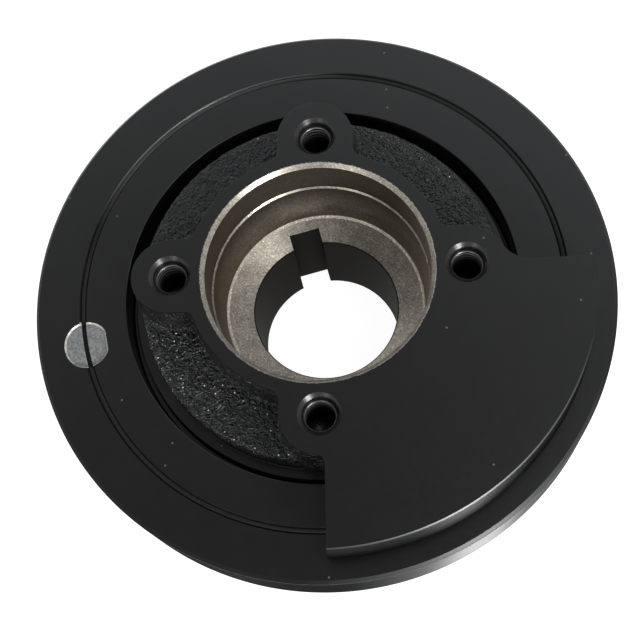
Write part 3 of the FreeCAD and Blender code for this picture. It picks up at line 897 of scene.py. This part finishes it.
def bare_colour(g, mottle, lines):
    """Freshly turned iron, olive-grey and pitted, with a fine bright grain and a few stains."""
    grain = g.noise(1.9, 3.0, 0.7)
    warm = g.mix(g.step(mottle, 0.35, 0.68), IRON_WARM, IRON_PALE)
    pitted = g.mix(g.step(grain, 0.30, 0.46), IRON_PIT, warm)
    bright = g.mix(g.step(grain, 0.52, 0.70), pitted, IRON_BRIGHT)
    lined = g.mix(g.span(lines, 0.0, 0.35), bright, IRON_LINE)
    stain = g.step(g.noise(0.9, 4.0, 0.7), 0.56, 0.72)
    return g.mix(g.times(stain, 0.5), lined, IRON_STAIN)


def bare_iron(name, shade, grain, foot_shade=None, roughness=(0.30, 0.46), sectors=0.0):
    """Bare turned iron. shade scales its colour, painting light and shade into it. With foot_shade it is a
    wall with
    painted shade: foot_shade at the counterbore's foot, shade at its mouth, and painted light at the lower
    right.
    grain is how far the lathe marks draw out reflections, and sectors is how much brighter the painted
    highlights on the two sides in line with the low lamp make it."""
    g = Graph(name)
    mottle = g.noise(0.28, 5.0, 0.62)
    lines = g.lathe_lines(2.2)
    if foot_shade:
        # Painted shade: darker from the counterbore's foot up to the pilot wall
        shade = g.span(g.step(g.z, COUNTERBORE_Z, PILOT_Z), foot_shade, shade)
        # Painted light: brighter towards the lower right
        lower_right = g.plus(g.times(g.x, 0.8), g.times(g.y, -0.6))
        shade = g.plus(shade, g.times(g.step(lower_right, 0.0, 28.0), 0.65))
        g.shader.inputs["Specular Tint"].default_value = IRON_TINT
    # Painted highlights on the two sides in line with the low lamp
    if sectors:
        shade = g.times(shade, g.span(g.lit_sides(60.0), 1.0 - sectors, 1.0 + sectors))
    colour = g.shaded(bare_colour(g, mottle, lines), shade)
    g.bump(lines, 0.02)
    g.turned_grain(grain)
    return g.finish(colour, g.span(mottle, *roughness), 0.92)


def bore_iron():
    """The crank bore and keyway in the dark: a near-black colour paints in the shade deep in the bore."""
    g = Graph("bore_iron")
    lines = g.lathe_lines(1.5)
    colour = g.mix(lines, (0.015, 0.0135, 0.011), (0.027, 0.024, 0.020))
    g.bump(lines, 0.02)
    return g.finish(colour, 0.7, 0.0, 0.08)


def worn_edge():
    """Paint rubbed thin along an edge."""
    g = Graph("worn_edge")
    colour = g.mix(g.step(g.noise(0.7, 4.0, 0.6), 0.38, 0.60), grey(0.010), (0.045, 0.044, 0.042))
    return g.finish(colour, 0.34, 0.0, 0.42)


def tapped_iron():
    """Countersinks and walls of the tapped holes, dark with oil."""
    g = Graph("tapped_iron")
    mottle = g.noise(0.9, 4.0, 0.6)
    colour = g.mix(mottle, grey(0.0025), (0.010, 0.009, 0.0085))
    g.bump(g.noise(3.0, 2.0), 0.02)
    return g.finish(colour, g.span(mottle, 0.22, 0.34), 0.0, 0.24)


def thread_iron():
    """Threads with a painted highlight on their crests just under the first turn, fading with depth as
    painted shade; their roots are black.
    """
    g = Graph("thread_iron")
    across, along = g.math("ABSOLUTE", g.x), g.math("ABSOLUTE", g.y)
    out = g.math("SUBTRACT", g.math("MAXIMUM", across, along), PITCH_RADIUS)
    aside = g.math("MINIMUM", across, along)
    radius = g.math("SQRT", g.plus(g.times(out, out), g.times(aside, aside)))
    # Painted highlight on the crests, with painted shade fading it deeper in the hole
    crest = g.inverse(g.step(radius, THREAD_CREST + 0.05, THREAD_CREST + 0.40))
    under_first_turn = g.inverse(g.step(g.z, -2.6, -1.4))
    painted_crest_light = g.times(g.times(crest, under_first_turn), g.step(g.z, -11.0, -4.0))
    colour = g.mix(painted_crest_light, grey(0.003), (0.060, 0.057, 0.052))
    return g.finish(colour, g.span(g.noise(0.9, 4.0, 0.6), 0.26, 0.40), 0.0, g.span(painted_crest_light, 0.04, 1.0))


def spot_bare():
    """Floor of the spot-face, cut bare and dull."""
    g = Graph("spot_bare")
    mottle = g.step(g.noise(1.1, 5.0, 0.7), 0.35, 0.65)
    colour = g.mix(mottle, (0.085, 0.089, 0.088), (0.18, 0.187, 0.182))
    g.bump(g.noise(2.2, 3.0), 0.03)
    return g.finish(colour, 0.5, 0.25)


def spot_edge():
    """The broken edge round the spot-face, brighter than its floor."""
    g = Graph("spot_edge")
    colour = g.mix(g.step(g.noise(1.5, 3.0), 0.35, 0.65), (0.20, 0.19, 0.165), (0.42, 0.41, 0.37))
    return g.finish(colour, 0.45, 0.3)


def turned_side(name, shade, foot_shade=None, painted_highlight=0.0):
    """Thin paint over an outside wall whose lathe marks spread a reflection up and down it, with painted
    shade towards its foot and a painted highlight on the two sides in line with the low lamp.
    """
    g = Graph(name)
    lines = g.lathe_lines(2.4)
    colour = g.mix(g.noise(0.10, 4.0, 0.6), grey(0.036), grey(0.056))
    colour = g.mix(g.step(lines, 0.40, 0.75), colour, grey(0.080))
    if foot_shade is not None:
        # Painted shade: darker towards the wall's foot
        shade = g.span(g.step(g.z, RING_FRONT + 1.0, -1.5), foot_shade, shade)
    colour = g.shaded(colour, shade)
    # Painted highlight on the two sides in line with the low lamp
    colour = g.shaded(colour, g.plus(0.60, g.times(g.lit_sides(30.0), painted_highlight)))
    g.bump(lines, 0.006)
    g.turned_grain(1.0)
    g.shader.inputs["Specular Tint"].default_value = NO_TINT
    return g.finish(colour, g.span(lines, 0.40, 0.52), 1.0)


def edge_black(name, brightest, half_width=38.0):
    """Paint over a turned bevel, dull but for a painted sheen on the two sides in line with the low lamp."""
    g = Graph(name)
    lines = g.lathe_lines(2.0)
    colour = g.mix(lines, grey(0.002), grey(0.006))
    g.bump(lines, 0.02)
    return g.finish(colour, g.span(lines, 0.30, 0.40), 0.0, g.span(g.lit_sides(half_width), 0.06, brightest))


def rubber_black():
    """Rubber, with a painted sheen on the two sides in line with the low lamp."""
    g = Graph("rubber_black")
    grain = g.noise(1.5, 3.0)
    colour = g.mix(grain, grey(0.006), grey(0.014))
    g.bump(grain, 0.02)
    return g.finish(colour, g.span(grain, 0.30, 0.44), 0.0, g.span(g.lit_sides(42.0), 0.08, 0.5))


def rubber_cut():
    """Rubber left matt where the cutter crossed it."""
    g = Graph("rubber_cut")
    colour = g.mix(g.noise(2.0, 3.0), grey(0.002), (0.008, 0.0075, 0.007))
    g.bump(g.noise(3.0, 2.0), 0.05)
    return g.finish(colour, 0.7, 0.0, 0.03)


# Which face gets which material: names for places in mm, with rise for how far a face's normal points up

def in_spot(centre):
    away = math.hypot(centre.x - SPOT_CENTRE[0], centre.y - SPOT_CENTRE[1])
    return away < SPOT_RADIUS + 0.2 and RING_FRONT - SPOT_DEPTH - 0.01 < centre.z < RING_FRONT - 0.01


def in_hole(centre):
    return centre.z < -0.02 and any(math.hypot(centre.x - x, centre.y - y) < HOLE_MOUTH + NEAR
                                    for x, y in BOLT_CENTRES)


def bore_part(radius, height, rise):
    """Material of a face inside the hub's mouth."""
    if height > -MOUTH_DEPTH - 0.02:
        return "paint" if rise > LEVEL else "mouth_bevel"
    if height < FLOOR_Z or radius < CRANK_BORE - 0.01 or (radius < KEY_REACH + 0.1 and abs(rise) < 0.1):
        return "bore"
    if 0.3 < rise < 0.9:
        return "floor_bevel" if height < COUNTERBORE_Z + 0.1 else "mouth_bevel"
    return "floor" if rise > 0.5 else "wall"


def hub_part(centre, normal):
    """Material of a hub face."""
    radius, height, rise = math.hypot(centre.x, centre.y), centre.z, normal.z
    if in_spot(centre):
        return "spot_face" if rise > LEVEL else "spot_rim"
    if in_hole(centre):
        return "tapped"
    if radius < MOUTH_RADIUS + NEAR and height > HUB_BACK + 0.5:
        return bore_part(radius, height, rise)
    if radius > WEIGHT_RADIUS - 0.6 and height > -WEIGHT_BEVEL - 0.02 and 0.15 < rise < 0.97:
        return "weight_edge"
    if radius > WEIGHT_RADIUS - 0.2 and height > RING_FRONT and abs(rise) < 0.3:
        return "weight_side"
    if height < WEB_BACK_Z + 1.0 and NOSE_RADIUS + 0.5 < radius < RIM_INNER:
        return "cast"
    if height > -0.6 and rise > LEVEL:
        return "paint"
    if height > -0.6 or (radius > RIM_RADIUS - BOND_EDGE - 0.1 and 0.1 < rise < LEVEL):
        return "edge"
    on_web = radius < WEB_RADIUS + NEAR and height > LEDGE_Z + 0.2
    on_wall = radius < CAST_LIMIT and height > RING_FRONT + 0.3 and rise < 0.5
    return "cast" if on_web or on_wall else "paint"


def ring_part(centre, normal):
    """Material of a face of the inertia ring."""
    radius, rise = math.hypot(centre.x, centre.y), normal.z
    if in_spot(centre):
        return "spot_face" if rise > LEVEL else "spot_rim"
    if radius < RUBBER_RADIUS + BOND_EDGE and 0.2 < rise < LEVEL:
        return "bond_edge"
    if radius < RING_RADIUS - RING_FRONT_EDGE - NEAR or rise > LEVEL or centre.z < RING_BACK + 0.9:
        return "paint"
    if rise > 0.6:
        return "edge"
    return "corner" if rise > 0.1 else "side"


def rubber_part(centre, normal):
    """Material of a face of the rubber."""
    return "cut" if in_spot(centre) else "rubber"


def assign(obj, materials, choose):
    """Gives each face the material that choose(centre in mm, normal) names, and smooths the faces."""
    obj.data.materials.clear()
    for material in materials.values():
        obj.data.materials.append(material)
    index = {name: k for k, name in enumerate(materials)}
    for face in obj.data.polygons:
        face.material_index = index[choose(face.center / MM, face.normal)]
    obj.data.shade_smooth()
    obj.data.set_sharp_from_angle(angle=math.radians(35))
    even = obj.modifiers.new("even", "WEIGHTED_NORMAL")
    even.mode = "FACE_AREA"
    even.weight = 100
    even.keep_sharp = True
    apply(obj, even)


# Floor, room, lights and camera

FLOOR_SIDE = 1200.0
FLOOR_COLOUR = (0.25, 0.25, 0.25, 1)
FLOOR_WHITE = 0.96
ROOM_BRIGHT = (1.60, 1.65, 1.70)
ROOM_DARK = (0.20, 0.20, 0.20)
ROOM_DARKEST = (-0.15, 0.0, 0.0)
ROOM_REACH = (0.18, 0.82)
CAMERA_PLACE = (23.12, -117.54, 288.07)
CAMERA_TURN = (19.5, 4.8, -0.935)
CAMERA_LENS = 64.57
CAMERA_SENSOR = 36.0


def floor():
    """Floor under the nose: white to the camera and in reflections, and it keeps the part's shadow."""
    side, z = FLOOR_SIDE, HUB_BACK
    obj = make_object("floor", [(-side, -side, z), (side, -side, z), (side, side, z), (-side, side, z)],
                      [(0, 1, 2, 3)])
    material = bpy.data.materials.new("floor_white")
    material.use_nodes = True
    n = Nodes(material.node_tree)
    shader = n.tree.nodes["Principled BSDF"].inputs
    shader["Base Color"].default_value = FLOOR_COLOUR
    shader["Roughness"].default_value = 1.0
    shader["Specular IOR Level"].default_value = 0.0
    path = n.node("ShaderNodeLightPath").outputs
    seen = n.math("MAXIMUM", path["Is Camera Ray"], path["Is Glossy Ray"])
    seen = n.math("MAXIMUM", seen, path["Is Transmission Ray"])
    shader["Emission Color"].default_value = (1, 1, 1, 1)
    n.link(n.times(seen, FLOOR_WHITE), shader["Emission Strength"])
    obj.data.materials.append(material)


def world():
    """White to the camera; for light and reflections a pale room that darkens overhead."""
    studio = bpy.data.worlds.new("studio")
    bpy.context.scene.world = studio
    studio.use_nodes = True
    n = Nodes(studio.node_tree)
    level = n.vector_math("MULTIPLY", n.node("ShaderNodeTexCoord").outputs["Generated"], (1, 1, 0))
    away = n.vector_math("DISTANCE", level, ROOM_DARKEST, output=1)
    share = n.math("POWER", n.step(away, *ROOM_REACH, curve="LINEAR"), 2.0)
    room = n.mix(share, ROOM_DARK, ROOM_BRIGHT)
    camera_ray = n.node("ShaderNodeLightPath").outputs["Is Camera Ray"]
    n.link(n.mix(camera_ray, room, (1.0, 1.0, 1.0)), n.tree.nodes["Background"].inputs["Color"])


def soft_light(name, turn, rise, distance, size, power):
    """Square area light aimed at the part; angles in degrees, distance and size in metres, power in watts."""
    lamp = bpy.data.lights.new(name, "AREA")
    lamp.size = size
    lamp.energy = power
    obj = bpy.data.objects.new(name, lamp)
    bpy.context.scene.collection.objects.link(obj)
    turn, rise = math.radians(turn), math.radians(rise)
    towards = Vector((math.cos(rise) * math.cos(turn), math.cos(rise) * math.sin(turn), math.sin(rise)))
    obj.location = towards * distance
    obj.rotation_euler = towards.to_track_quat("Z", "Y").to_euler()


def camera():
    """The photo's camera, fitted to the ellipses of the ring, the bond line, the pilot and the bore."""
    lens = bpy.data.cameras.new("camera")
    lens.lens = CAMERA_LENS
    lens.sensor_width = CAMERA_SENSOR
    lens.clip_start = 0.01
    obj = bpy.data.objects.new("camera", lens)
    obj.location = Vector(CAMERA_PLACE) * MM
    obj.rotation_euler = [math.radians(turn) for turn in CAMERA_TURN]
    bpy.context.scene.collection.objects.link(obj)
    bpy.context.scene.camera = obj


def place_piece(piece, slot, *nodes):
    """Puts a piece on the one body, in place of the CAD nodes it stands for; slot is not used."""
    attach(piece, "root")
    if nodes:
        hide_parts(*nodes)


camera()
floor()
world()
soft_light("low_light", turn=-54.0, rise=18.0, distance=1.1, size=0.30, power=20.0)
soft_light("fill_light", turn=-120.0, rise=20.0, distance=1.1, size=0.30, power=1.6)
soft_light("overhead_light", turn=-18.0, rise=71.5, distance=1.2, size=0.22, power=1.3)

spot = {"spot_face": spot_bare(), "spot_rim": spot_edge()}
edge_paint = edge_black("edge_paint", 0.34)

hub = hub_casting()
assign(hub, {
    "paint": satin_black("turned_paint", MOUTH_RADIUS + 0.16),
    "cast": cast_black(),
    # Bore wall with painted shade at its mouth and painted light at its foot and lower right
    "wall": bare_iron("bore_wall", 0.12, 0.3, foot_shade=0.9, roughness=(0.32, 0.46)),
    "tapped": tapped_iron(),
    **spot,
    "mouth_bevel": bare_iron("mouth_bevel", 0.9, 0.6),
    # Bore floor with painted highlights on its two lit sides
    "floor": bare_iron("bore_floor", 1.2, 0.88, roughness=(0.32, 0.44), sectors=0.25),
    "bore": bore_iron(),
    "weight_edge": edge_black("weight_edge", 0.62, 44.0),
    # Counterweight's side with painted shade towards its foot
    "weight_side": turned_side("weight_side", 0.65, foot_shade=0.06),
    "edge": edge_paint,
    # Floor bevel given a brighter colour as a painted highlight
    "floor_bevel": bare_iron("floor_bevel", 1.9, 0.3, roughness=(0.40, 0.55)),
}, hub_part)
place_piece(hub, "hub_iron", "hub")

band = rubber_band()
assign(band, {"rubber": rubber_black(), "cut": rubber_cut()}, rubber_part)
place_piece(band, "rubber", "elastomer_ring")

ring = inertia_ring_detail()
assign(ring, {
    "paint": satin_black("ring_paint"),
    # Ring's side with a painted highlight on the two lit sides
    "side": turned_side("ring_side", 0.9, painted_highlight=1.5),
    **spot,
    "edge": edge_paint,
    "corner": worn_edge(),
    "bond_edge": edge_black("bond_paint", 1.0, 42.0),
}, ring_part)
place_piece(ring, "ring_iron", "inertia_ring")

threads = bolt_threads()
assign(threads, {"thread": thread_iron()}, lambda centre, normal: "thread")
place_piece(threads, "hub_iron")

bpy.context.scene.view_settings.view_transform = "Standard"
